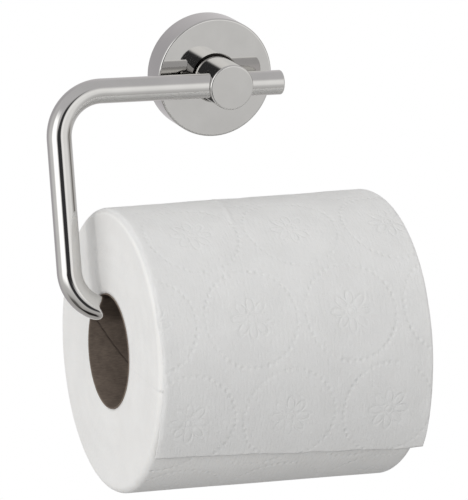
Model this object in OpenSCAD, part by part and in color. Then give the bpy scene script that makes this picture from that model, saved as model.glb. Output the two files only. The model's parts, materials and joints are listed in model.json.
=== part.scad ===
// Wall-mounted toilet paper holder with a swinging hanger arm, and the roll that hangs on it.
// Millimetres. X runs to the right, +Y into the wall, Z up. The origin is the centre of the
// rose's back, on the wall's surface, so everything except the wall screws lies at Y below 0.
// The arm is drawn as it hangs in use: the full roll rests against the wall and holds it out.

/* [Rose] */
// Radius of the round cover against the wall
rose_r = 24.5; // [24:0.5:30]
// How far the rose stands out from the wall
rose_t = 13.5; // [12.5:0.5:16]
// Rounding of the rose's front edge
rose_edge_r = 0.8; // [0.3:0.1:1.5]
// Thickness of the rose's front plate
rose_plate_t = 3.5; // [3:0.1:4]

/* [Post] */
// Radius of the short post that carries the arm
post_r = 9.25; // [9:0.05:11]
// How far the post's end stands out from the wall
post_reach = 33.4; // [33:0.1:36]
// Rounding round the post's end
post_edge_r = 0.7; // [0.2:0.1:0.9]
// Shadow gap left round the foot of the post
post_gap = 0.5; // [0.4:0.1:1.5]

/* [Arm] */
// Radius of the bent rod
rod_r = 5; // [4.5:0.1:5.2]
// Distance of the arm's turning axis from the wall
pivot_out = 27.35; // [26.5:0.05:27.8]
// Free end of the upper bar, from the middle of the post
upper_end_x = 23.3; // [18:0.1:40]
// Centre line of the upright leg, from the middle of the post
leg_x = -72.6; // [-80:0.1:-70]
// Bend radius at the top, on the rod's centre line
upper_bend_r = 18.8; // [12:0.1:24]
// Bend radius at the bottom, on the rod's centre line
lower_bend_r = 16; // [10:0.5:16.5]
// Free end of the lower bar, from the middle of the post
lower_end_x = 62; // [58:0.5:75]
// Chamfer on both cut ends of the rod
rod_chamfer = 0.8; // [0.3:0.1:1.2]

/* [Paper roll] */
// Radius of the wound paper
roll_r = 56.2; // [40:0.1:57]
// Width of the paper
roll_w = 114; // [100:0.5:116]
// Middle of the roll along the bar
roll_mid_x = -2.4; // [-2.5:0.1:2]
// How far the roll sits askew on the bar, its leg end turned away from the wall, in degrees
roll_skew = 1.85; // [0:0.05:2]
// Inside radius of the cardboard core
core_r = 22.5; // [19:0.1:24]
// Wall thickness of the cardboard core
core_t = 0.6; // [0.5:0.05:1]
// How far the core has slid out of the paper, towards the leg
core_slip = 0.9; // [0:0.1:1]
// Distance from the turning axis to the roll's own axis
hang_length = 103.75; // [102:0.05:112]
// Thickness of the loose outer turn as it stands off the roll
sheet_t = 0.5; // [0.3:0.1:0.8]
// Angle below level, at the front, at which the loose turn is torn off
sheet_end_angle = 33; // [10:1:80]
// How far the loose turn has slid sideways, away from the leg
sheet_slip = 1; // [0:0.1:4]

/* [Wall fixing] */
// Distance between the two wall screws, one above the other
screw_spacing = 23; // [20:0.5:25]
// Radius of the wall screws' thread
wall_screw_r = 2; // [1.75:0.05:2.1]
// How far the wall screws reach into the wall
wall_screw_reach = 27; // [20:1:40]

/* [Hidden] */
$fn = 96;

cut = 1;               // how far a cutting solid runs past the surface it opens
seat_depth = 1.2;      // depth of the post's seat in the rose
lip_chamfer = 0.5;     // bright chamfer round the seat's mouth
rose_wall_t = 2.2;
cavity_r = rose_r - rose_wall_t;

bracket_r = cavity_r - 1;
bracket_base_t = 2.5;
bracket_ring_t = 3;
bracket_h = 8;
bracket_groove = 0.8;
wall_hole_r = wall_screw_r + 0.3;

m6_r = 3;
m6_hole_r = 3.2;
m6_head_r = 5;
m6_head_h = 4;
m6_depth = 8.5;
washer_r = 5.8;
washer_t = 1;
m4_r = 2;
thread_gap = 0.05;     // between a screw's thread and its hole
turning_gap = 0.2;     // round the arm in the post's cross bore
grub_y = 5;            // the rose's grub screw sits this far from the wall

groove_w = 2.8;
groove_depth = 0.6;
dog_r = 1.2;
dog_gap = 0.2;

plate_back = rose_t - rose_plate_t;
post_foot = rose_t - seat_depth;

bar_gap = 0.9;         // over the bar, as the core's end has ridden up onto the lower bend
layer_gap = 0.1;       // between the wound paper and its loose outer turn
wall_gap = 0.1;        // between the roll and the wall
sheet_r = roll_r + layer_gap;
roll_edge_r = 2.5;
bar_drop = hang_length - (core_r - rod_r - bar_gap);
roll_left = roll_mid_x - roll_w / 2;
sheet_right = roll_left + roll_w + sheet_slip;
// The roll's far end rests on the wall, which sets how far the arm leans out.
roll_out = sheet_r + sheet_t + wall_gap + sheet_right * sin(roll_skew);
lean = asin((roll_out - pivot_out) / hang_length);

// Turned pieces are drawn about Z and stood on the wall: their Z becomes the way out from it.
module out_from_wall() {
    rotate([90, 0, 0]) children();
}

// Things that hang from the turning axis are drawn hanging straight down, then leant out.
module hung() {
    translate([0, -pivot_out, 0]) rotate([-lean, 0, 0]) children();
}

// The roll and its core are drawn along their own axis, a little askew to the bar.
module on_roll_axis(x) {
    hung() translate([0, 0, -hang_length]) rotate([0, 0, roll_skew]) along_x(x) children();
}

module along_x(x) {
    translate([x, 0, 0]) rotate([0, 90, 0]) children();
}

// A disc of the given radius and height with a rounded front edge, as a half profile.
module rounded_profile(r, h, edge) {
    square([r - edge, h]);
    square([r, h - edge]);
    translate([r - edge, h - edge]) circle(edge);
}

module hex_socket(across_flats, depth) {
    cylinder(r = across_flats / sqrt(3), h = depth, $fn = 6);
}

// The round back plate that stays on the wall, with a ring wall that the rose slips over.
module wall_bracket() {
    color("#A8A7A3")
    difference() {
        out_from_wall() rotate_extrude() bracket_profile();
        for (side = [-1, 1])
            translate([0, cut, side * screw_spacing / 2])
                out_from_wall() cylinder(r = wall_hole_r, h = bracket_base_t + 2 * cut);
    }
}

module bracket_profile() {
    ring_in = bracket_r - bracket_ring_t;
    difference() {
        square([bracket_r, bracket_h]);
        translate([0, bracket_base_t]) square([ring_in, bracket_h]);
        polygon([
            [bracket_r + 0.01, grub_y - bracket_groove - 0.4],
            [bracket_r - bracket_groove, grub_y - 0.4],
            [bracket_r - bracket_groove, grub_y + 0.4],
            [bracket_r + 0.01, grub_y + bracket_groove + 0.4]
        ]);
    }
}

// Two pan-head screws: thin neck through the bracket, thread and point in the wall.
module wall_screws() {
    color("#B4B2AC")
    for (side = [-1, 1])
        translate([0, 0, side * screw_spacing / 2]) wall_screw();
}

module wall_screw() {
    head_r = 4;
    head_h = 2.4;
    slot_w = 0.95;
    slot_l = 4.2;
    slot_d = 1.4;
    head_top = bracket_base_t + head_h;
    difference() {
        out_from_wall() rotate_extrude() wall_screw_profile(head_r, head_h);
        for (turn = [0, 90])
            rotate([0, turn + 12, 0])
                translate([-slot_l / 2, -head_top - cut, -slot_w / 2])
                    cube([slot_l, slot_d + cut, slot_w]);
    }
}

module wall_screw_profile(head_r, head_h) {
    neck_r = wall_screw_r - 0.25;
    thread_start = -0.2;
    point_l = 3.5;
    translate([0, bracket_base_t]) rounded_profile(head_r, head_h, 1.1);
    translate([0, thread_start]) square([neck_r, bracket_base_t - thread_start]);
    polygon([
        [0, thread_start], [wall_screw_r, thread_start],
        [wall_screw_r, point_l - wall_screw_reach],
        [0.3, -wall_screw_reach], [0, -wall_screw_reach]
    ]);
}

// The round cover: a deep cup, open to the wall, with a seat for the post in its face.
module rose() {
    color("#BDBBB9")
    difference() {
        out_from_wall() rotate_extrude() rose_profile();
        translate([0, -grub_y, -rose_r - cut]) cylinder(r = m4_r, h = rose_wall_t + 2 * cut);
    }
}

module rose_profile() {
    seat_r = post_r + post_gap;
    difference() {
        rounded_profile(rose_r, rose_t, rose_edge_r);
        translate([0, -cut]) square([cavity_r, plate_back + cut]);
        translate([0, plate_back - cut]) square([m6_hole_r, rose_plate_t + 2 * cut]);
        translate([0, post_foot]) square([seat_r, seat_depth + cut]);
        polygon([
            [seat_r - 0.1, rose_t - lip_chamfer],
            [seat_r, rose_t - lip_chamfer],
            [seat_r + lip_chamfer, rose_t],
            [seat_r + lip_chamfer, rose_t + cut],
            [seat_r - 0.1, rose_t + cut]
        ]);
    }
}

// Grub screw under the rose: its cone bites into the bracket's groove.
module rose_grub_screw() {
    outer = rose_r - 0.4;
    tip = bracket_r - bracket_groove + 0.05;
    cone_h = 1.7;
    color("#55534F")
    translate([0, -grub_y, -outer])
    difference() {
        rotate_extrude() polygon([
            [0, 0], [m4_r - thread_gap, 0],
            [m4_r - thread_gap, outer - tip - cone_h],
            [0.2, outer - tip], [0, outer - tip]
        ]);
        translate([0, 0, -cut]) hex_socket(2, 1.6 + cut);
    }
}

// The post, bored across for the arm, tapped behind for its screw and below for the retainer.
module post() {
    color("#8E8C8C")
    difference() {
        out_from_wall() rotate_extrude() post_profile();
        translate([0, -post_foot + cut, 0])
            out_from_wall() cylinder(r = m6_r, h = m6_depth + cut);
        translate([0, -pivot_out, 0])
            along_x(-post_r - cut) cylinder(r = rod_r + turning_gap, h = 2 * (post_r + cut));
        translate([0, -pivot_out, -post_r - cut]) cylinder(r = m4_r, h = post_r + cut);
    }
}

module post_profile() {
    difference() {
        rounded_profile(post_r, post_reach, post_edge_r);
        translate([0, -cut]) square([post_r + cut, post_foot + cut]);
    }
}

// Socket screw from inside the rose, which clamps the post into its seat.
module post_screw() {
    under_head = plate_back - washer_t;
    color("#6B6966")
    translate([0, -under_head + m6_head_h, 0]) out_from_wall()
    difference() {
        union() {
            cylinder(r = m6_head_r, h = m6_head_h);
            cylinder(r = m6_r - thread_gap, h = m6_head_h + 10);
        }
        translate([0, 0, -cut]) hex_socket(4, 2.4 + cut);
    }
}

module lock_washer() {
    color("#8A8783")
    translate([0, washer_t - plate_back, 0]) out_from_wall()
    difference() {
        cylinder(r = washer_r, h = washer_t);
        translate([0, 0, -cut]) cylinder(r = m6_hole_r, h = washer_t + 2 * cut);
    }
}

// Dog-point screw from below the post: its nose runs in the arm's groove and keeps the arm in.
module arm_retaining_screw() {
    outer = post_r - 0.5;
    nose = rod_r - groove_depth + dog_gap;
    shoulder = rod_r + 0.5;
    color("#55534F")
    translate([0, -pivot_out, -outer])
    difference() {
        union() {
            cylinder(r = m4_r - thread_gap, h = outer - shoulder);
            cylinder(r = dog_r, h = outer - nose);
        }
        translate([0, 0, -cut]) hex_socket(2, 1.8 + cut);
    }
}

// A straight length of rod along Z, chamfered at its far end.
module rod(length) {
    rotate_extrude() polygon([
        [0, 0], [rod_r, 0], [rod_r, length - rod_chamfer],
        [rod_r - rod_chamfer, length], [0, length]
    ]);
}

// A quarter bend in the XZ plane about its own centre, starting at the given angle.
module bend(bend_r, start) {
    rotate([90, 0, 0]) rotate([0, 0, start])
        rotate_extrude(angle = 90) translate([bend_r, 0]) circle(rod_r);
}

// One bent rod: upper bar through the post, upright leg, lower bar through the roll.
module hanger_arm() {
    upper_x = leg_x + upper_bend_r;
    lower_x = leg_x + lower_bend_r;
    leg_l = bar_drop - upper_bend_r - lower_bend_r;
    color("#A5A3A1")
    hung()
    difference() {
        union() {
            along_x(upper_x) rod(upper_end_x - upper_x);
            translate([upper_x, 0, -upper_bend_r]) bend(upper_bend_r, 90);
            translate([leg_x, 0, -upper_bend_r - leg_l]) cylinder(r = rod_r, h = leg_l);
            translate([lower_x, 0, lower_bend_r - bar_drop]) bend(lower_bend_r, 180);
            translate([0, 0, -bar_drop]) along_x(lower_x) rod(lower_end_x - lower_x);
        }
        along_x(-groove_w / 2) difference() {
            cylinder(r = rod_r + cut, h = groove_w);
            cylinder(r = rod_r - groove_depth, h = groove_w);
        }
    }
}

module cardboard_core() {
    color("#8C7A68")
    on_roll_axis(roll_left - core_slip) difference() {
        cylinder(r = core_r + core_t, h = roll_w);
        translate([0, 0, -cut]) cylinder(r = core_r, h = roll_w + 2 * cut);
    }
}

// The wound paper, with the soft edges that it has from its wrapping.
module paper_roll() {
    inner = core_r + core_t + thread_gap;
    color("#E2E1DF")
    on_roll_axis(roll_left) rotate_extrude() difference() {
        union() {
            translate([0, roll_edge_r]) square([roll_r, roll_w - 2 * roll_edge_r]);
            square([roll_r - roll_edge_r, roll_w]);
            for (z = [roll_edge_r, roll_w - roll_edge_r])
                translate([roll_r - roll_edge_r, z]) circle(roll_edge_r);
        }
        translate([0, -cut]) square([inner, roll_w + 2 * cut]);
    }
}

// The last turn of paper, loose from just behind the top down to where it was torn off.
module loose_outer_turn() {
    behind_top = 20;
    span = 90 + behind_top + sheet_end_angle;
    color("#EDECEA")
    on_roll_axis(roll_left + sheet_slip)
    rotate([0, 0, lean + sheet_end_angle - 90 - span])
    rotate_extrude(angle = span) translate([sheet_r, 0]) square([sheet_t, roll_w]);
}

wall_bracket();
wall_screws();
rose();
rose_grub_screw();
post();
post_screw();
lock_washer();
arm_retaining_screw();
hanger_arm();
cardboard_core();
paper_roll();
loose_outer_turn();
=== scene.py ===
"""Wall-mounted toilet paper holder: polished bent-rod arm on a round rose, with its paper roll."""
import json
import math

import bpy
import numpy as np
from mathutils import Matrix, Vector


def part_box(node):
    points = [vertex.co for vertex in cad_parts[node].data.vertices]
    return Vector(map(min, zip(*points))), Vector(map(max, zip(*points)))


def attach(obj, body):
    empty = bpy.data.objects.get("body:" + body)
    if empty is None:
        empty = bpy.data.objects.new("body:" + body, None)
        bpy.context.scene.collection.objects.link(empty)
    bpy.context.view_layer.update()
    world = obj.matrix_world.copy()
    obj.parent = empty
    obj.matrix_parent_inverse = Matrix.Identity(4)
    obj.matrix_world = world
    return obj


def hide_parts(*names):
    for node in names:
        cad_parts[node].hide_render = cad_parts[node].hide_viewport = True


MM = 0.001      # sizes are in mm unless a comment says otherwise

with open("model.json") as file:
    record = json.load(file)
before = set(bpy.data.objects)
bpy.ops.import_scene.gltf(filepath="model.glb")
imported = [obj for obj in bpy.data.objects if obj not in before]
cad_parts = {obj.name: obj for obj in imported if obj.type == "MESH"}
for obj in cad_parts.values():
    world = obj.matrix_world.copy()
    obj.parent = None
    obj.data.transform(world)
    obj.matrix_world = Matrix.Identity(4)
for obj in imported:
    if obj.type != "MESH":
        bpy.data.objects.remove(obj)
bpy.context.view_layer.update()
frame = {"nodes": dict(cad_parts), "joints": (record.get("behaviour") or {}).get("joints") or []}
spin = next(j for j in frame["joints"] if j["name"] == "roll_spin")
swing = next(j for j in frame["joints"] if j["name"] == "arm_swing")


# ---------------------------------------------------------------- camera

VIEW_TURN = math.radians(20.86)    # how far round to the left of straight on
VIEW_DOWN = math.radians(14.66)    # how steeply it looks down
VIEW_ROLL = math.radians(1.75)
VIEW_DISTANCE = 1.5015             # m
SENSOR = 36                        # along the image's long side
FOCAL = 263.23
# Where the frame's origin appears, as a part of the image's long side from its middle.
ORIGIN_RIGHT, ORIGIN_UP = -0.06004, 0.358


def add_camera():
    """A long lens at the given turn, drop and roll, placed so that the origin appears where it should."""
    ct, st = math.cos(VIEW_TURN), math.sin(VIEW_TURN)
    cd, sd = math.cos(VIEW_DOWN), math.sin(VIEW_DOWN)
    ahead = Vector((st * cd, ct * cd, -sd))
    right = ahead.cross(Vector((0, 0, 1))).normalized()
    up = right.cross(ahead)
    cr, sr = math.cos(VIEW_ROLL), math.sin(VIEW_ROLL)
    right, up = right * cr + up * sr, up * cr - right * sr
    data = bpy.data.cameras.new("camera")
    data.sensor_width = SENSOR
    data.lens = FOCAL
    data.clip_start, data.clip_end = 0.05, 20
    camera = bpy.data.objects.new("camera", data)
    bpy.context.scene.collection.objects.link(camera)
    spread = data.sensor_width / data.lens * VIEW_DISTANCE
    place = -(ahead * VIEW_DISTANCE + right * ORIGIN_RIGHT * spread + up * ORIGIN_UP * spread)
    camera.matrix_world = Matrix((
        (right.x, up.x, -ahead.x, place.x),
        (right.y, up.y, -ahead.y, place.y),
        (right.z, up.z, -ahead.z, place.z),
        (0, 0, 0, 1),
    ))
    bpy.context.scene.camera = camera


# ---------------------------------------------------------------- materials

def rgb(hex_colour):
    """An sRGB hex colour as linear RGBA."""
    srgb = [int(hex_colour[i:i + 2], 16) / 255 for i in (1, 3, 5)]
    return [c / 12.92 if c <= 0.04045 else ((c + 0.055) / 1.055) ** 2.4 for c in srgb] + [1]


def add(tree, kind, inputs=None, **settings):
    """Adds one node, sets its settings, and gives each named input a value or the socket that feeds it."""
    node = tree.nodes.new("ShaderNode" + kind)
    for name, value in settings.items():
        setattr(node, name, value)
    for name, value in (inputs or {}).items():
        if isinstance(value, bpy.types.NodeSocket):
            tree.links.new(value, node.inputs[name])
        else:
            node.inputs[name].default_value = value
    return node


def new_material(name):
    """An empty node material with a Principled shader: (material, node tree, shader)."""
    material = bpy.data.materials.new(name)
    material.use_nodes = True
    tree = material.node_tree
    tree.nodes.clear()
    shader = add(tree, "BsdfPrincipled")
    add(tree, "OutputMaterial", {"Surface": shader.outputs["BSDF"]})
    return material, tree, shader


def ramp(tree, factor, stops):
    """A colour ramp over the given (place, colour) stops."""
    node = add(tree, "ValToRGB", {"Fac": factor})
    band = node.color_ramp
    band.elements[0].position, band.elements[0].color = stops[0]
    band.elements[1].position, band.elements[1].color = stops[-1]
    for place, colour in stops[1:-1]:
        band.elements.new(place).color = colour
    return node.outputs["Color"]


def feed(tree, shader, **sockets):
    """Feeds sockets of the shader; a single underscore in a name stands for a space."""
    for name, value in sockets.items():
        target = shader.inputs[name.replace("_", " ")]
        if isinstance(value, bpy.types.NodeSocket):
            tree.links.new(value, target)
        else:
            target.default_value = value


RECESS_R = 9.8    # outside of the narrow gap round the foot of the post, within which the rose's colour is painted shade


def polished_nickel(name, painted_gap_shade=False):
    """Nickel-chrome plate on buffed brass: a clean mirror, hazed by a few hundredths, very slightly uneven.

    With recess, the narrow gap round the foot of the post gets painted shade: its colour is drawn dark and duller,
    as little light leaves it."""
    material, tree, shader = new_material(name)
    at = add(tree, "TexCoord").outputs["Object"]
    haze = add(tree, "TexNoise", {"Vector": at, "Scale": 1 / (9 * MM), "Detail": 2.0})
    rough = add(tree, "MapRange", {"Value": haze.outputs["Fac"], "To Min": 0.03, "To Max": 0.06}).outputs["Result"]
    tint = ramp(tree, haze.outputs["Fac"], [(0.3, rgb("#D5D4D2")), (0.7, rgb("#DAD9D7"))])
    # Painted shade: within RECESS_R the colour is drawn near black, and the finish duller, standing in for the shade
    # in the gap round the post's foot.
    if painted_gap_shade:
        part = add(tree, "SeparateXYZ", {"Vector": at})
        across = add(tree, "CombineXYZ", {"X": part.outputs["X"], "Z": part.outputs["Z"]})
        radius = add(tree, "VectorMath", {0: across.outputs["Vector"]}, operation="LENGTH").outputs["Value"]
        inside = add(tree, "Math", {0: radius, 1: RECESS_R * MM}, operation="LESS_THAN").outputs[0]
        tint = add(tree, "Mix", {"Factor": inside, "A": tint, "B": rgb("#2E2B2A")},
                   data_type="RGBA").outputs["Result"]
        rough = add(tree, "Mix", {"Factor": inside, "A": rough, "B": 0.35}).outputs["Result"]
    feed(tree, shader, Base_Color=tint, Metallic=1.0, Roughness=rough)
    return material


def cast_zinc():
    """Die-cast zinc, tumbled: dull grey with a fine orange-peel skin."""
    material, tree, shader = new_material("cast_zinc")
    at = add(tree, "TexCoord").outputs["Object"]
    skin = add(tree, "TexNoise", {"Vector": at, "Scale": 1 / (0.5 * MM), "Detail": 4.0})
    cloud = add(tree, "TexNoise", {"Vector": at, "Scale": 1 / (6 * MM), "Detail": 3.0})
    tint = ramp(tree, cloud.outputs["Fac"], [(0.3, rgb("#9B9C9B")), (0.7, rgb("#B2B2AE"))])
    bump = add(tree, "Bump", {"Height": skin.outputs["Fac"], "Distance": 0.03 * MM, "Strength": 0.5})
    feed(tree, shader, Base_Color=tint, Metallic=0.9, Roughness=0.42, Normal=bump.outputs["Normal"])
    return material


def zinc_plated_steel():
    """Bright zinc plate on cold-formed screws: pale, slightly blue, with a soft shine."""
    material, tree, shader = new_material("zinc_plated_steel")
    at = add(tree, "TexCoord").outputs["Object"]
    cloud = add(tree, "TexNoise", {"Vector": at, "Scale": 1 / (2.5 * MM), "Detail": 3.0})
    tint = ramp(tree, cloud.outputs["Fac"], [(0.3, rgb("#AEB1B4")), (0.7, rgb("#C6C6C2"))])
    rough = add(tree, "MapRange", {"Value": cloud.outputs["Fac"], "To Min": 0.22, "To Max": 0.38})
    feed(tree, shader, Base_Color=tint, Metallic=1.0, Roughness=rough.outputs["Result"])
    return material


def black_oxide_steel():
    """Black-oxide grub screws: near black with an oily sheen and worn brighter spots."""
    material, tree, shader = new_material("black_oxide_steel")
    at = add(tree, "TexCoord").outputs["Object"]
    worn = add(tree, "TexNoise", {"Vector": at, "Scale": 1 / (1.2 * MM), "Detail": 4.0})
    tint = ramp(tree, worn.outputs["Fac"], [(0.45, rgb("#2A2A2B")), (0.75, rgb("#5B5A58"))])
    feed(tree, shader, Base_Color=tint, Metallic=0.85, Roughness=0.38)
    return material


def grey_board():
    """Spiral-wound recycled grey board: matt, flecked with fibres, darker along the seam."""
    material, tree, shader = new_material("grey_board")
    at = add(tree, "TexCoord").outputs["Object"]
    fibre_map = add(tree, "Mapping", {"Vector": at, "Scale": [1 / (2.2 * MM), 1 / (0.6 * MM), 1 / (0.6 * MM)]})
    fibre = add(tree, "TexNoise", {"Vector": fibre_map.outputs["Vector"], "Scale": 1.0, "Detail": 5.0,
                                   "Roughness": 0.65})
    cloud = add(tree, "TexNoise", {"Vector": at, "Scale": 1 / (7 * MM), "Detail": 3.0})
    mixed = add(tree, "Mix", {"Factor": 0.45, "A": fibre.outputs["Fac"], "B": cloud.outputs["Fac"]})
    tint = ramp(tree, mixed.outputs["Result"], [(0.3, rgb("#665B52")), (0.5, rgb("#7A6E64")), (0.7, rgb("#8D8074"))])
    seam = add(tree, "Attribute", attribute_name="seam")
    shaded = add(tree, "Mix", {"Factor": seam.outputs["Fac"], "A": tint, "B": rgb("#3B332D")}, data_type="RGBA")
    bump = add(tree, "Bump", {"Height": fibre.outputs["Fac"], "Distance": 0.12 * MM, "Strength": 0.5})
    feed(tree, shader, Base_Color=shaded.outputs["Result"], Roughness=0.92, Normal=bump.outputs["Normal"])
    shader.inputs["Specular IOR Level"].default_value = 0.25
    return material


# The embossed pattern: staggered dotted rings, each round a flower. Sizes in mm.
RING_PITCH, ROW_PITCH, ROW_SHIFT = 42.0, 39.8, -15.0
RING_ALONG, ROW_AROUND = 12.2, -14.4        # where one ring has its middle
RING_R, RING_DOTS = 19.2, 44
DOT_ALONG_RING, DOT_ACROSS_RING = 0.85, 0.72
PETALS, PETAL_AT, PETAL_LONG, PETAL_WIDE = 8, 5.3, 2.9, 1.6
PETAL_LINE = 0.26                           # width of a petal's outline, as a part of the petal's half size
EYE_R, EYE_LINE = 1.5, 0.5                  # the small ring in the middle of a flower
FLOWER_DEPTH = 0.68                         # as a part of a dot's depth


def embossing(tree, around, along):
    """Depth of the pressed pattern, 0 to 1, from two sockets that give the place on the web in mm.

    Each row of rings is looked at with its two neighbours, as the rings of one row reach into the next."""
    def do(operation, *values):
        return add(tree, "Math", dict(enumerate(values)), operation=operation).outputs[0]

    def bell(value, width):
        """1 where value is 0, and falling off smoothly over the width on both sides."""
        scaled = do("DIVIDE", value, width)
        return do("EXPONENT", do("MULTIPLY", do("MULTIPLY", scaled, scaled), -1.0))

    def nearest(value, pitch):
        """How far value is from the nearest whole number of pitches."""
        return do("SUBTRACT", value, do("MULTIPLY", do("ROUND", do("DIVIDE", value, pitch)), pitch))

    depth = None
    around = do("SUBTRACT", around, ROW_AROUND)
    row = do("ROUND", do("DIVIDE", around, ROW_PITCH))
    for neighbour in (-1.0, 0.0, 1.0):
        level = do("ADD", row, neighbour)
        x = nearest(do("SUBTRACT", along, do("MULTIPLY_ADD", level, ROW_SHIFT, RING_ALONG)), RING_PITCH)
        y = do("SUBTRACT", around, do("MULTIPLY", level, ROW_PITCH))
        radius = do("SQRT", do("ADD", do("MULTIPLY", x, x), do("MULTIPLY", y, y)))
        turn = do("ARCTAN2", y, x)
        off = do("MULTIPLY", nearest(turn, 2 * math.pi / RING_DOTS), RING_R)
        dots = do("MULTIPLY", bell(off, DOT_ALONG_RING), bell(do("SUBTRACT", radius, RING_R), DOT_ACROSS_RING))
        swing = nearest(turn, 2 * math.pi / PETALS)
        out = do("DIVIDE", do("SUBTRACT", do("MULTIPLY", radius, do("COSINE", swing)), PETAL_AT), PETAL_LONG)
        across = do("DIVIDE", do("MULTIPLY", radius, do("SINE", swing)), PETAL_WIDE)
        petal = do("SQRT", do("ADD", do("MULTIPLY", out, out), do("MULTIPLY", across, across)))
        flower = do("MAXIMUM", bell(do("SUBTRACT", petal, 1.0), PETAL_LINE),
                    bell(do("SUBTRACT", radius, EYE_R), EYE_LINE))
        whole = do("MAXIMUM", dots, do("MULTIPLY", flower, FLOWER_DEPTH))
        depth = whole if depth is None else do("MAXIMUM", depth, whole)
    return depth


def tissue(name, light, dark, edge_marks=False):
    """Creped two-ply tissue: matt soft white, with fine crepe lines and pressed flowers in dotted rings.

    With edge_marks the pattern fades out over the roll's shoulders, so its wound ends stay plain. The crepe is
    drawn coarser than real crepe, so that it shows at all."""
    material, tree, shader = new_material(name)
    web = add(tree, "UVMap").outputs["UV"]
    in_mm = add(tree, "VectorMath", {0: web, "Scale": 1 / MM}, operation="SCALE").outputs["Vector"]
    place = add(tree, "SeparateXYZ", {"Vector": in_mm})
    pattern = embossing(tree, place.outputs["X"], place.outputs["Y"])
    at = add(tree, "TexCoord").outputs["Object"]
    uneven = add(tree, "TexNoise", {"Vector": at, "Scale": 1 / (11 * MM), "Detail": 3.0}).outputs["Fac"]
    strength = add(tree, "MapRange", {"Value": uneven, "From Min": 0.3, "From Max": 0.7, "To Min": 0.3,
                                      "To Max": 1.2}).outputs["Result"]
    if edge_marks:
        outside = add(tree, "Attribute", attribute_name="outside").outputs["Fac"]
        strength = add(tree, "Math", {0: strength, 1: outside}, operation="MULTIPLY").outputs[0]
    pressed = add(tree, "Math", {0: pattern, 1: strength}, operation="MULTIPLY").outputs[0]
    crepe_map = add(tree, "Mapping", {"Vector": web, "Scale": [1 / (4.5 * MM), 1 / (0.9 * MM), 1]})
    crepe = add(tree, "TexNoise", {"Vector": crepe_map.outputs["Vector"], "Scale": 1.0, "Detail": 4.0})
    fluff = add(tree, "TexNoise", {"Vector": at, "Scale": 1 / (1.3 * MM), "Detail": 4.0})
    skin = add(tree, "Math", {0: crepe.outputs["Fac"], 1: fluff.outputs["Fac"]}, operation="ADD").outputs[0]
    skin_bump = add(tree, "Bump", {"Height": skin, "Distance": 0.24 * MM, "Strength": 0.6})
    bump = add(tree, "Bump", {"Height": pressed, "Distance": 0.23 * MM, "Strength": 1.0,
                              "Normal": skin_bump.outputs["Normal"]}, invert=True)
    cloud = add(tree, "TexNoise", {"Vector": at, "Scale": 1 / (14 * MM), "Detail": 4.0})
    tint = ramp(tree, cloud.outputs["Fac"], [(0.35, rgb(dark)), (0.65, rgb(light))])
    feed(tree, shader, Base_Color=tint, Roughness=0.96, Normal=bump.outputs["Normal"])
    shader.inputs["Specular IOR Level"].default_value = 0.2
    shader.inputs["Subsurface Weight"].default_value = 0.3
    shader.inputs["Subsurface Radius"].default_value = (1.0, 0.95, 0.9)
    shader.inputs["Subsurface Scale"].default_value = 0.9 * MM
    shader.inputs["Sheen Weight"].default_value = 0.08
    shader.inputs["Sheen Roughness"].default_value = 0.6
    return material


# ---------------------------------------------------------------- shapes

def grid_faces(rows, columns, close_rows=False, close_columns=False):
    """Quads between neighbours of a rows x columns grid of points, joined up where a direction is closed."""
    r = np.arange(rows if close_rows else rows - 1)
    c = np.arange(columns if close_columns else columns - 1)
    r, c = np.meshgrid(r, c, indexing="ij")
    r1, c1 = (r + 1) % rows, (c + 1) % columns
    corners = [r * columns + c, r1 * columns + c, r1 * columns + c1, r * columns + c1]
    return np.stack(corners, -1).reshape(-1, 4)


def mesh_piece(name, points, faces, uv=None, attributes=None, caps=()):
    """A smooth-shaded object from points (n, 3) in metres and quads (m, 4); uv holds one pair a point."""
    mesh = bpy.data.meshes.new(name)
    mesh.from_pydata(points.reshape(-1, 3).tolist(), [], faces.tolist() + list(caps))
    mesh.shade_smooth()
    if uv is not None:
        layer = mesh.uv_layers.new(name="UVMap")
        corner = np.zeros(len(mesh.loops), np.int32)
        mesh.loops.foreach_get("vertex_index", corner)
        layer.data.foreach_set("uv", uv.reshape(-1, 2)[corner].astype(np.float32).ravel())
    for key, values in (attributes or {}).items():
        mesh.attributes.new(key, "FLOAT", "POINT").data.foreach_set("value", values.astype(np.float32).ravel())
    mesh.validate()
    piece = bpy.data.objects.new(name, mesh)
    bpy.context.scene.collection.objects.link(piece)
    return piece


def finish_piece(piece, body, slot, material, *stands_for):
    """Gives a new piece its material and body, and hides the CAD nodes it is shown in place of. The slot is not
    used.
    """
    piece.data.materials.append(material)
    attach(piece, body)
    if stands_for:
        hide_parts(*stands_for)
    return piece


LATTICE = 64


def smooth_noise(u, v, pitch, seed):
    """Soft bumps from -1 to 1 with the given pitch: random heights on a lattice, joined by cosine steps."""
    heights = np.random.default_rng(seed).uniform(-1, 1, (LATTICE, LATTICE))
    a, b = u / pitch, v / pitch
    i, j = np.floor(a).astype(int), np.floor(b).astype(int)
    s, t = (1 - np.cos((a - i) * np.pi)) / 2, (1 - np.cos((b - j) * np.pi)) / 2

    def at(p, q):
        return heights[(i + p) % LATTICE, (j + q) % LATTICE]

    low = at(0, 0) * (1 - s) + at(1, 0) * s
    high = at(0, 1) * (1 - s) + at(1, 1) * s
    return low * (1 - t) + high * t


# The bent rod's own sizes. Depth is measured down the leg from the upper bar's middle.
ROD_R = 5.0
UPPER_BEND_R, LOWER_BEND_R = 18.8, 16.0
GROOVE_W, GROOVE_DEPTH = 2.8, 0.6           # runs round the rod inside the post, for the retaining screw
GROOVE_EDGE = 0.02
END_ROUND = 0.7
END_FACE_R = 1.0                            # middle part of the flat end, closed with one face
POINTS_ROUND_ROD = 96
RINGS_IN_BEND = 57
arm_pivot = np.array(swing["pos_m"]) / MM
arm_low, arm_high = (np.array(corner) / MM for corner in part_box("hanger_arm"))
LEG_X = arm_low[0] + ROD_R
LOWER_END = arm_high[0]
UPPER_END = 23.3


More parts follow.
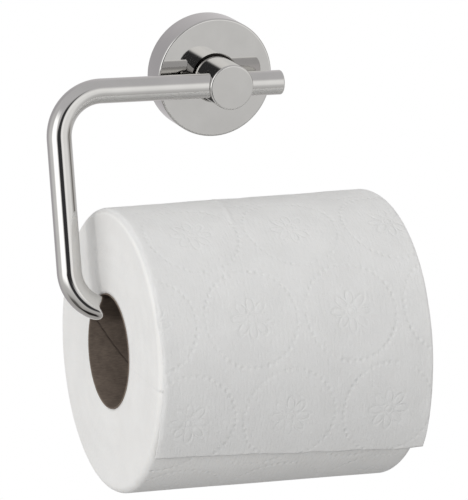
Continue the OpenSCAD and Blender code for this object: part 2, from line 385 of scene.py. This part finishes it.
def rod_rings(place_x, depth, out_x, out_down, radius=ROD_R):
    """One stretch of the rod, a row for each ring: where it is, its way outwards, and its radius."""
    return np.stack(np.broadcast_arrays(place_x, depth, out_x, out_down, radius), -1)


def bent_rod():
    """One rod of round section: rings of points square to a path that runs along the upper bar, round a quarter
    bend, down the leg, round a second bend and along the lower bar, all in the plane that leans from the wall."""
    hang = np.array(spin["pos_m"]) / MM - arm_pivot
    hang[0] = 0
    down = hang / np.linalg.norm(hang)
    front = np.array([0.0, down[2], -down[1]])
    drop = (-arm_low[2] - ROD_R) / -down[2]
    corner = np.linspace(0, math.pi / 2, 9)
    end_in = np.concatenate([[0, 0], END_ROUND * (1 - np.cos(corner)), [END_ROUND + 0.05]])
    end_r = np.concatenate([[END_FACE_R, ROD_R - END_ROUND - 0.03],
                            ROD_R - END_ROUND + END_ROUND * np.sin(corner), [ROD_R]])
    half, edge = GROOVE_W / 2, GROOVE_EDGE
    groove_x = np.array([half + edge, half, half - edge, -half + edge, -half, -half - edge])
    groove_r = ROD_R - np.array([0, 0, GROOVE_DEPTH, GROOVE_DEPTH, 0, 0])
    upper_x, lower_x = LEG_X + UPPER_BEND_R, LEG_X + LOWER_BEND_R
    bend = np.linspace(0, math.pi / 2, RINGS_IN_BEND)
    rings = np.concatenate([
        rod_rings(UPPER_END - end_in, 0, 0, -1, end_r),
        rod_rings(np.linspace(UPPER_END - 2, half + 2, 5), 0, 0, -1),
        rod_rings(groove_x, 0, 0, -1, groove_r),
        rod_rings(np.linspace(-half - 2, upper_x + 0.5, 9), 0, 0, -1),
        rod_rings(upper_x - UPPER_BEND_R * np.sin(bend), UPPER_BEND_R * (1 - np.cos(bend)),
                  -np.sin(bend), -np.cos(bend)),
        rod_rings(LEG_X, np.linspace(UPPER_BEND_R + 0.5, drop - LOWER_BEND_R - 0.5, 9), -1, 0),
        rod_rings(lower_x - LOWER_BEND_R * np.cos(bend), drop - LOWER_BEND_R * (1 - np.sin(bend)),
                  -np.cos(bend), np.sin(bend)),
        rod_rings(np.linspace(lower_x + 0.5, LOWER_END - 2, 12), drop, 0, 1),
        rod_rings(LOWER_END - end_in[::-1], drop, 0, 1, end_r[::-1]),
    ])
    place_x, depth, out_x, out_down, radius = rings.T[..., None]
    around = np.linspace(0, 2 * math.pi, POINTS_ROUND_ROD, endpoint=False)
    sideways = radius * np.cos(around)
    forward = radius * np.sin(around)
    points = ((place_x + sideways * out_x)[..., None] * np.array([1.0, 0, 0])
              + (depth + sideways * out_down)[..., None] * down + forward[..., None] * front)
    points = (points + arm_pivot * [0, 1, 1]) * MM
    total = points.shape[0] * POINTS_ROUND_ROD
    caps = [list(range(POINTS_ROUND_ROD)), list(range(total - 1, total - POINTS_ROUND_ROD - 1, -1))]
    faces = grid_faces(points.shape[0], POINTS_ROUND_ROD, False, True)
    return mesh_piece("bent_rod_arm", points, faces, caps=caps)


# The roll's own sizes. Places along it are measured from the spin joint's point.
ROLL_LEFT, ROLL_RIGHT = -59.4, 55.3
RADIUS_LEFT, RADIUS_RIGHT = 56.6, 57.4      # paper is wound a little looser towards its free side
CORE_LEFT, CORE_RIGHT = -59.7, 54.3
CORE_IN, CORE_OUT = 22.5, 23.1
CORE_SLIP = 0.05                            # gap between the core and the paper wound on it
SHOULDER = 2.7
SAG = 0.15                                  # the soft roll is this much flatter on top and fuller below
UV_START = 9                                # shifts the pressed pattern round the wound roll

roll_point = np.array(spin["pos_m"])
roll_along = -np.array(spin["axis"])
roll_up = np.array([0.0, 0.0, 1.0]) - roll_along * roll_along[2]
roll_up /= np.linalg.norm(roll_up)
roll_front = np.cross(roll_along, roll_up)


def round_roll(x, radius, angle):
    """Points at x along the roll, radius from its axis and angle above level at the front; mm in, metres out."""
    x, radius, angle = np.broadcast_arrays(x, radius, angle)
    out = x[..., None] * roll_along
    out = out + (radius * np.cos(angle))[..., None] * roll_front
    out = out + (radius * np.sin(angle))[..., None] * roll_up
    return roll_point + out * MM


def radius_at(x):
    """Radius of the wound paper at x along it: a straight taper from one end to the other."""
    return RADIUS_LEFT + (RADIUS_RIGHT - RADIUS_LEFT) * (x - ROLL_LEFT) / (ROLL_RIGHT - ROLL_LEFT)


def paper_roll():
    """The wound paper: a closed profile (end, rounded shoulder, outside, bore) carried once round the axis.

    The ends ripple by a few tenths of a millimetre, and the outside swells softly."""
    on_face, on_shoulder, turns = 26, 11, 400
    bore = CORE_OUT + CORE_SLIP
    width = ROLL_RIGHT - ROLL_LEFT
    corner = np.linspace(0, math.pi / 2, on_shoulder + 1)
    low = SHOULDER * (1 - np.cos(corner))      # how far along the shoulder has come
    drop = SHOULDER * (1 - np.sin(corner))     # how far below the outside it still is
    face = np.linspace(0, 1, on_face)
    flat = np.linspace(SHOULDER, width - SHOULDER, 150)[1:-1]
    x_line = np.concatenate([np.zeros(on_face), low[1:], flat, width - low[:0:-1], np.full(on_face, width),
                             np.linspace(width, 0, 12)[1:-1]])
    left_face = slice(0, on_face)
    left_shoulder = slice(on_face, on_face + on_shoulder)
    right_shoulder = slice(left_shoulder.stop + len(flat), left_shoulder.stop + len(flat) + on_shoulder)
    right_face = slice(right_shoulder.stop, right_shoulder.stop + on_face)
    outside = radius_at(x_line + ROLL_LEFT)
    r_line = outside.copy()
    r_line[left_face] = bore + face * (outside[0] - SHOULDER - bore)
    r_line[left_shoulder] = outside[left_shoulder] - drop[1:]
    r_line[right_shoulder] = outside[right_shoulder] - drop[:0:-1]
    r_line[right_face] = bore + face[::-1] * (outside[right_face.start] - SHOULDER - bore)
    r_line[right_face.stop:] = bore
    a, x = np.meshgrid(np.linspace(0, 2 * math.pi, turns, endpoint=False), x_line, indexing="ij")
    r = np.broadcast_to(r_line, a.shape)
    far_out = np.clip((r - (outside - SHOULDER)) / SHOULDER, 0, 1) ** 2
    on_end = np.zeros_like(x_line)
    on_end[left_face], on_end[right_face] = -1, 1
    on_end = on_end * np.clip((r_line - bore) / 6, 0, 1) * np.clip((outside - SHOULDER - r_line) / 5, 0, 1)
    sway = smooth_noise(np.cos(a) * r, np.sin(a) * r, 17, 3) * 0.3 + np.sin(r * 0.9) * 0.05
    swell = 0.2 * smooth_noise(x, a * RADIUS_LEFT, 28, 7)
    points = round_roll(x + ROLL_LEFT + on_end * sway, r + far_out * (swell - SAG * np.sin(a)), a)
    uv = np.stack([(a * RADIUS_LEFT + UV_START) * MM, x * MM], -1)
    faces = grid_faces(turns, len(x_line), True, True)[:, ::-1]
    return mesh_piece("paper_roll_wound", points, faces, uv, {"outside": far_out})


# How far the loose turn stands off the roll, in mm, by angle above level at the front, at its two sides.
STAND_OFF_ANGLES = [-34, -26, -16, -4, 12, 40, 80, 93, 104, 120, 150]
STAND_OFF_LEFT = [1.8, 1.2, 0.6, 0.25, 0.1, 0.0, 0.0, 0.0, 0.0, 0.0, 0.0]
STAND_OFF_RIGHT = [3.4, 2.5, 1.4, 0.6, 0.4, 0.4, 0.3, 0.4, 1.1, 1.5, 0.1]
WEB = 114.6                                 # width of the paper as it comes off the roll
LEFT_CURL, RIGHT_CURL = 0.95, 0.5           # how far it bends over each shoulder, in radians
SHEET_HALF = 0.07                           # half the thickness of two plies
SHEET_CLEAR = 0.2                           # height over the roll, before any stand-off or ripple
SHEET_START, TORN_LEFT, TORN_RIGHT = math.radians(150), math.radians(-30.5), math.radians(-34)


def loose_turn():
    """The last turn: a sheet that leaves the roll behind the top, hugs it in front and hangs off at its torn edge.

    Across, it lies flat and curls down over the roll's shoulders. Its height over the roll runs smoothly through
    a few heights by angle, growing from its left side to its right."""
    curl_r = SHOULDER + 0.15
    ends = np.linspace(0, 1, 9)[:-1]
    left, right = curl_r * LEFT_CURL, WEB - curl_r * RIGHT_CURL
    span = np.concatenate([ends * left, np.linspace(left, right, 154), WEB - (WEB - right) * ends[::-1]])
    # A distance across the sheet becomes a place along the roll and a fall below the flat.
    left_turn = np.clip((left - span) / curl_r, 0, None)
    right_turn = np.clip((span - right) / curl_r, 0, None)
    x_line = np.clip(span, left, right) + curl_r * (np.sin(right_turn) - np.sin(left_turn))
    fall = curl_r * (2 - np.cos(left_turn) - np.cos(right_turn))
    x_line = x_line - x_line[0] + ROLL_LEFT + 0.35
    t, x = np.meshgrid(np.linspace(0, 1, 270), x_line, indexing="ij")
    side = (x - x_line[0]) / (x_line[-1] - x_line[0])
    # The tear: a slanted line with a coarse wave and fine teeth.
    torn = TORN_LEFT + (TORN_RIGHT - TORN_LEFT) * side
    torn = torn + (0.5 * smooth_noise(x, x * 0, 9, 11) + 0.22 * smooth_noise(x, x * 0, 2.3, 12)) / RADIUS_LEFT
    a = SHEET_START + (torn - SHEET_START) * t
    degrees = np.degrees(a)
    lift = (np.interp(degrees, STAND_OFF_ANGLES, STAND_OFF_LEFT) * (1 - side)
            + np.interp(degrees, STAND_OFF_ANGLES, STAND_OFF_RIGHT) * side)
    # The corners between those heights are rounded by averaging along the sheet.
    kernel = np.hanning(21) / np.hanning(21).sum()
    reach = len(kernel) // 2
    padded = np.pad(lift, ((reach, reach), (0, 0)), mode="edge")
    lift = sum(padded[i:i + lift.shape[0]] * weight for i, weight in enumerate(kernel))
    around = a * RADIUS_LEFT
    fold = fall * np.clip((degrees + 30) / 26, 0.25, 1)
    ripple = 0.2 * smooth_noise(x, around, 21, 5) + 0.09 * smooth_noise(x, around, 6.5, 6)
    # One slanted crease over the top, in from the left.
    crease_x = ROLL_LEFT + 46 + (a - math.radians(88)) * 9
    crease = 0.3 * np.exp(-((x - crease_x) / 0.7) ** 2) * np.clip((degrees - 62) / 12, 0, 1)
    crease = crease * np.clip((112 - degrees) / 12, 0, 1)
    # Low down the free end slides a little to the right.
    slide = 1.3 * np.clip(1 - (degrees + 34) / 60, 0, 1)
    flatness = np.clip(1 - fold / 0.6, 0, 1)
    # The left edge is tucked into the roll's shoulder where the sheet lies on it.
    tuck = 0.45 * np.clip(1 - span / 1.7, 0, 1) * np.clip((degrees + 24) / 12, 0, 1)
    r = radius_at(x) - SAG * np.sin(a) + SHEET_CLEAR + lift - fold - tuck + flatness * (ripple + crease)
    outer = round_roll(x + slide, r + SHEET_HALF, a)
    inner = round_roll(x + slide, r - SHEET_HALF, a)
    rows, columns = a.shape
    points = np.concatenate([outer.reshape(-1, 3), inner.reshape(-1, 3)])
    top = grid_faces(rows, columns)
    bottom = top[:, ::-1] + rows * columns
    rim = np.concatenate([
        np.arange(columns - 1), (np.arange(rows - 1) + 1) * columns - 1,
        rows * columns - 1 - np.arange(columns - 1), (np.arange(rows - 1)[::-1] + 1) * columns])
    rim_next = np.roll(rim, -1)
    wall = np.stack([rim, rim_next, rim_next + rows * columns, rim + rows * columns], -1)
    uv = np.stack([around * MM, (x - ROLL_LEFT) * MM], -1).reshape(-1, 2)
    return mesh_piece("loose_outer_sheet", points, np.concatenate([top, bottom, wall]), np.concatenate([uv, uv]))


SEAM_PITCH, SEAM_START, SEAM_WIDTH = 100.0, math.radians(152), 0.3


def cardboard_core():
    """The spiral-wound tube: inner wall, end, outer wall, end, carried round; a helical seam is pressed inside."""
    length = CORE_RIGHT - CORE_LEFT
    on_wall, turns, edge = 230, 240, 0.2
    along = np.linspace(0.12, length - 0.12, on_wall)
    back = along[::-8]
    x_line = np.concatenate([along, [length, length], back, [0, 0]])
    r_line = np.concatenate([np.full(on_wall, CORE_IN), [CORE_IN + edge, CORE_OUT - edge],
                             np.full(len(back), CORE_OUT), [CORE_OUT - edge, CORE_IN + edge]])
    a, x = np.meshgrid(np.linspace(0, 2 * math.pi, turns, endpoint=False), x_line, indexing="ij")
    r = np.broadcast_to(r_line, a.shape)
    off = a - SEAM_START - 2 * math.pi * x / SEAM_PITCH
    off = ((off + math.pi) % (2 * math.pi) - math.pi) * CORE_IN
    off = off * math.cos(math.atan2(SEAM_PITCH, 2 * math.pi * CORE_IN))
    inside = (np.abs(r - CORE_IN) < 0.05).astype(float)
    seam = np.exp(-(off / SEAM_WIDTH) ** 2) * inside
    fuzz = 0.05 * smooth_noise(a * CORE_IN, x, 1.6, 21)
    points = round_roll(x + CORE_LEFT, r + inside * (0.15 * seam + fuzz), a)
    uv = np.stack([a * CORE_IN * MM, x * MM], -1)
    return mesh_piece("core_tube", points, grid_faces(turns, len(x_line), True, True), uv, {"seam": seam})


# ---------------------------------------------------------------- studio

def add_area(name, turn, rise, distance, size, power, target):
    """A soft rectangular light aimed at target; distance and size in metres, turn and rise in degrees.

    A negative turn puts it to the left of the front."""
    data = bpy.data.lights.new(name, "AREA")
    data.shape = "RECTANGLE"
    data.size, data.size_y = size
    data.energy = power
    light = bpy.data.objects.new(name, data)
    bpy.context.scene.collection.objects.link(light)
    a, e = math.radians(turn), math.radians(rise)
    back = Vector((math.sin(a) * math.cos(e), -math.cos(a) * math.cos(e), math.sin(e)))
    light.location = target + back * distance
    light.rotation_euler = (-back).to_track_quat("-Z", "Y").to_euler()
    return light


def band(tree, value, low, high, soft):
    """1 between low and high, 0 outside, with soft edges."""
    up = add(tree, "MapRange", {"Value": value, "From Min": low - soft, "From Max": low + soft},
             interpolation_type="SMOOTHSTEP")
    down = add(tree, "MapRange", {"Value": value, "From Min": high + soft, "From Max": high - soft},
               interpolation_type="SMOOTHSTEP")
    return add(tree, "Math", {0: up.outputs["Result"], 1: down.outputs["Result"]}, operation="MULTIPLY").outputs[0]


# The soft light on matt surfaces: its mean level, and how it grows towards the left, the front and the top.
SOFT_LEVEL, SOFT_LEAN = 0.571, (-0.258, -0.217, 0.318)

# Light from below to above that the metal sees, by height from 0 at straight down to 1 at straight up.
WALLS_BY_HEIGHT = [
    (0.0, (0.42, 0.41, 0.40, 1)), (0.25, (0.47, 0.46, 0.45, 1)), (0.38, (0.60, 0.595, 0.59, 1)),
    (0.44, (0.68, 0.675, 0.67, 1)), (0.52, (0.72, 0.715, 0.71, 1)), (0.66, (0.62, 0.61, 0.61, 1)),
    (0.78, (0.57, 0.56, 0.57, 1)), (1.0, (0.56, 0.555, 0.56, 1))]
WALL_BEHIND_LEFT, WALL_BEHIND_RIGHT = (0.46, 0.445, 0.46, 1), (0.64, 0.62, 0.63, 1)

# Panels over those walls, later ones on top: turn from the front (negative to the left) and rise, both from
# and to in degrees, then the colour, and how soft the sides and the top and bottom edges are, in degrees.
PANELS = [
    ((6, 60), (-6, 34), (0.95, 0.945, 0.935, 1), 8, 10),        # pale wall right of the camera
    ((68, 112), (-15, 34), (0.55, 0.535, 0.52, 1), 8, 8),       # grey wall at the right side
    ((78, 94), (-6, 16), (0.2, 0.19, 0.18, 1), 5, 5),           # a dark opening in it
    ((-88, -45), (-8, 42), (1.55, 1.55, 1.55, 1), 8, 10),       # big white light at the left
    ((-92, -52), (-62, -36), (0.12, 0.115, 0.11, 1), 8, 8),     # dark floor below it
    ((-80, -6), (-78, -55), (0.025, 0.024, 0.022, 1), 8, 3),    # darker strip of floor nearer the front
    ((0, 20), (10, 28), (1.1, 1.09, 1.08, 1), 6, 6),            # small white light right of the camera
    ((-36, -3), (9, 27), (0.04, 0.04, 0.04, 1), 4, 5),          # dark gap behind the camera
]
# One more dark gap, bent like an arrowhead: at BEND_RISE its middle is about BEND_SIDE to the left of the
# front, and for each degree of rise away from there it comes 0.8 degrees back towards the right.
BEND_RISE, BEND_SLOPE, BEND_SIDE = 10.0, -0.8, 28.5
BENT_GAP = ((-16, 15), (-28, 44), (0.04, 0.04, 0.042, 1), 4, 6)


def add_studio():
    """White behind everything for the camera, even soft light for matt surfaces, and for reflections only a
    drawn studio of walls and panels."""
    world = bpy.data.worlds.new("studio")
    bpy.context.scene.world = world
    world.use_nodes = True
    tree = world.node_tree
    tree.nodes.clear()
    way = add(tree, "TexCoord").outputs["Generated"]
    part = add(tree, "SeparateXYZ", {"Vector": way})
    x, y, z = part.outputs
    back = add(tree, "Math", {0: y, 1: -1.0}, operation="MULTIPLY").outputs[0]
    turn = add(tree, "Math", {0: x, 1: back}, operation="ARCTAN2").outputs[0]
    turn = add(tree, "Math", {0: turn}, operation="DEGREES").outputs[0]
    rise = add(tree, "Math", {0: z}, operation="ARCSINE").outputs[0]
    rise = add(tree, "Math", {0: rise}, operation="DEGREES").outputs[0]

    height = add(tree, "MapRange", {"Value": rise, "From Min": -90.0, "From Max": 90.0}).outputs["Result"]
    seen = ramp(tree, height, WALLS_BY_HEIGHT)

    def panel(under, across, turns, rises, colour, soft, soft_rise):
        """Lays one soft-edged panel over the colour under it."""
        inside = add(tree, "Math", {0: band(tree, across, *turns, soft), 1: band(tree, rise, *rises, soft_rise)},
                     operation="MULTIPLY")
        return add(tree, "Mix", {"Factor": inside.outputs[0], "A": under, "B": colour},
                   data_type="RGBA").outputs["Result"]

    behind = add(tree, "MapRange", {"Value": y, "From Min": 0.45, "From Max": 0.8}).outputs["Result"]
    wall = add(tree, "MapRange", {"Value": x, "From Min": -0.35, "From Max": 0.35}).outputs["Result"]
    wall = add(tree, "Mix", {"Factor": wall, "A": WALL_BEHIND_LEFT, "B": WALL_BEHIND_RIGHT},
               data_type="RGBA").outputs["Result"]
    seen = add(tree, "Mix", {"Factor": behind, "A": seen, "B": wall}, data_type="RGBA").outputs["Result"]
    for settings in PANELS:
        seen = panel(seen, turn, *settings)
    bent = add(tree, "Math", {0: rise, 1: BEND_RISE}, operation="SUBTRACT").outputs[0]
    bent = add(tree, "Math", {0: bent}, operation="ABSOLUTE").outputs[0]
    bent = add(tree, "Math", {0: bent, 1: BEND_SLOPE, 2: BEND_SIDE}, operation="MULTIPLY_ADD").outputs[0]
    bent = add(tree, "Math", {0: turn, 1: bent}, operation="ADD").outputs[0]
    seen = panel(seen, bent, *BENT_GAP)

    lean = add(tree, "VectorMath", {0: way, 1: SOFT_LEAN}, operation="DOT_PRODUCT").outputs["Value"]
    soft = add(tree, "Math", {0: lean, 1: SOFT_LEVEL}, operation="ADD").outputs[0]

    ray = add(tree, "LightPath")
    glossy = add(tree, "Mix", {"Factor": ray.outputs["Is Glossy Ray"], "A": soft, "B": seen},
                 data_type="RGBA").outputs["Result"]
    final = add(tree, "Mix", {"Factor": ray.outputs["Is Camera Ray"], "A": glossy, "B": (1, 1, 1, 1)},
                data_type="RGBA").outputs["Result"]
    shade = add(tree, "Background", {"Color": final, "Strength": 1.0})
    add(tree, "OutputWorld", {"Surface": shade.outputs["Background"]})

    key = add_area("key_light", -60, 10, 1.3, (0.22, 0.4), 2.6, Vector((-0.03, -0.05, -0.08)))
    key.visible_glossy = False
    bpy.context.scene.view_settings.view_transform = "Standard"


FLOOR_RINGS_M, FLOOR_MIDDLE_M, FLOOR_LEVEL_M = [0.001, 0.2, 0.45], -0.06, -0.42


def add_floor():
    """A pale round floor well below the roll, out of the front view: rings of points round one middle.

    It's left out of reflections and of soft light, so that neither the metal nor the paper shows it."""
    around = 96
    angle = np.linspace(0, 2 * math.pi, around, endpoint=False)
    r, a = np.meshgrid(FLOOR_RINGS_M, angle, indexing="ij")
    points = np.stack([r * np.cos(a), FLOOR_MIDDLE_M + r * np.sin(a), np.full(a.shape, FLOOR_LEVEL_M)], -1)
    floor = mesh_piece("floor", points, grid_faces(len(FLOOR_RINGS_M), around, False, True))
    material, tree, shader = new_material("pale_floor")
    at = add(tree, "TexCoord").outputs["Object"]
    cloud = add(tree, "TexNoise", {"Vector": at, "Scale": 3.0, "Detail": 2.0})
    tint = ramp(tree, cloud.outputs["Fac"], [(0.3, rgb("#E9E8E6")), (0.7, rgb("#EEEDEB"))])
    feed(tree, shader, Base_Color=tint, Roughness=0.8)
    floor.data.materials.append(material)
    floor.visible_glossy = floor.visible_diffuse = False


# ---------------------------------------------------------------- assembly

add_camera()
add_studio()
add_floor()

METALS = {
    "rose": polished_nickel("polished_nickel_rose", painted_gap_shade=True),
    "post": polished_nickel("polished_nickel_post"),
    "hanger_arm": polished_nickel("polished_nickel_rod"),
    "wall_bracket": cast_zinc(),
    "wall_screws": zinc_plated_steel(),
    "rose_grub_screw": black_oxide_steel(),
    "arm_retaining_screw": black_oxide_steel(),
}
METALS["post_screw"] = METALS["lock_washer"] = METALS["wall_screws"]
for node_name, metal in METALS.items():
    node = frame["nodes"][node_name]
    node.data.materials.clear()
    node.data.materials.append(metal)

finish_piece(bent_rod(), "arm", "polished_nickel_rod", METALS["hanger_arm"], "hanger_arm")
wound = tissue("creped_tissue_wound", "#F0EFED", "#ECEBE9", edge_marks=True)
finish_piece(paper_roll(), "roll", "wound_tissue", wound, "paper_roll")
web = tissue("creped_tissue_sheet", "#F2F1EF", "#EEEDEB")
last_turn = finish_piece(loose_turn(), "roll", "tissue_sheet", web, "loose_outer_turn")
finish_piece(cardboard_core(), "roll", "grey_cardboard", grey_board(), "cardboard_core")
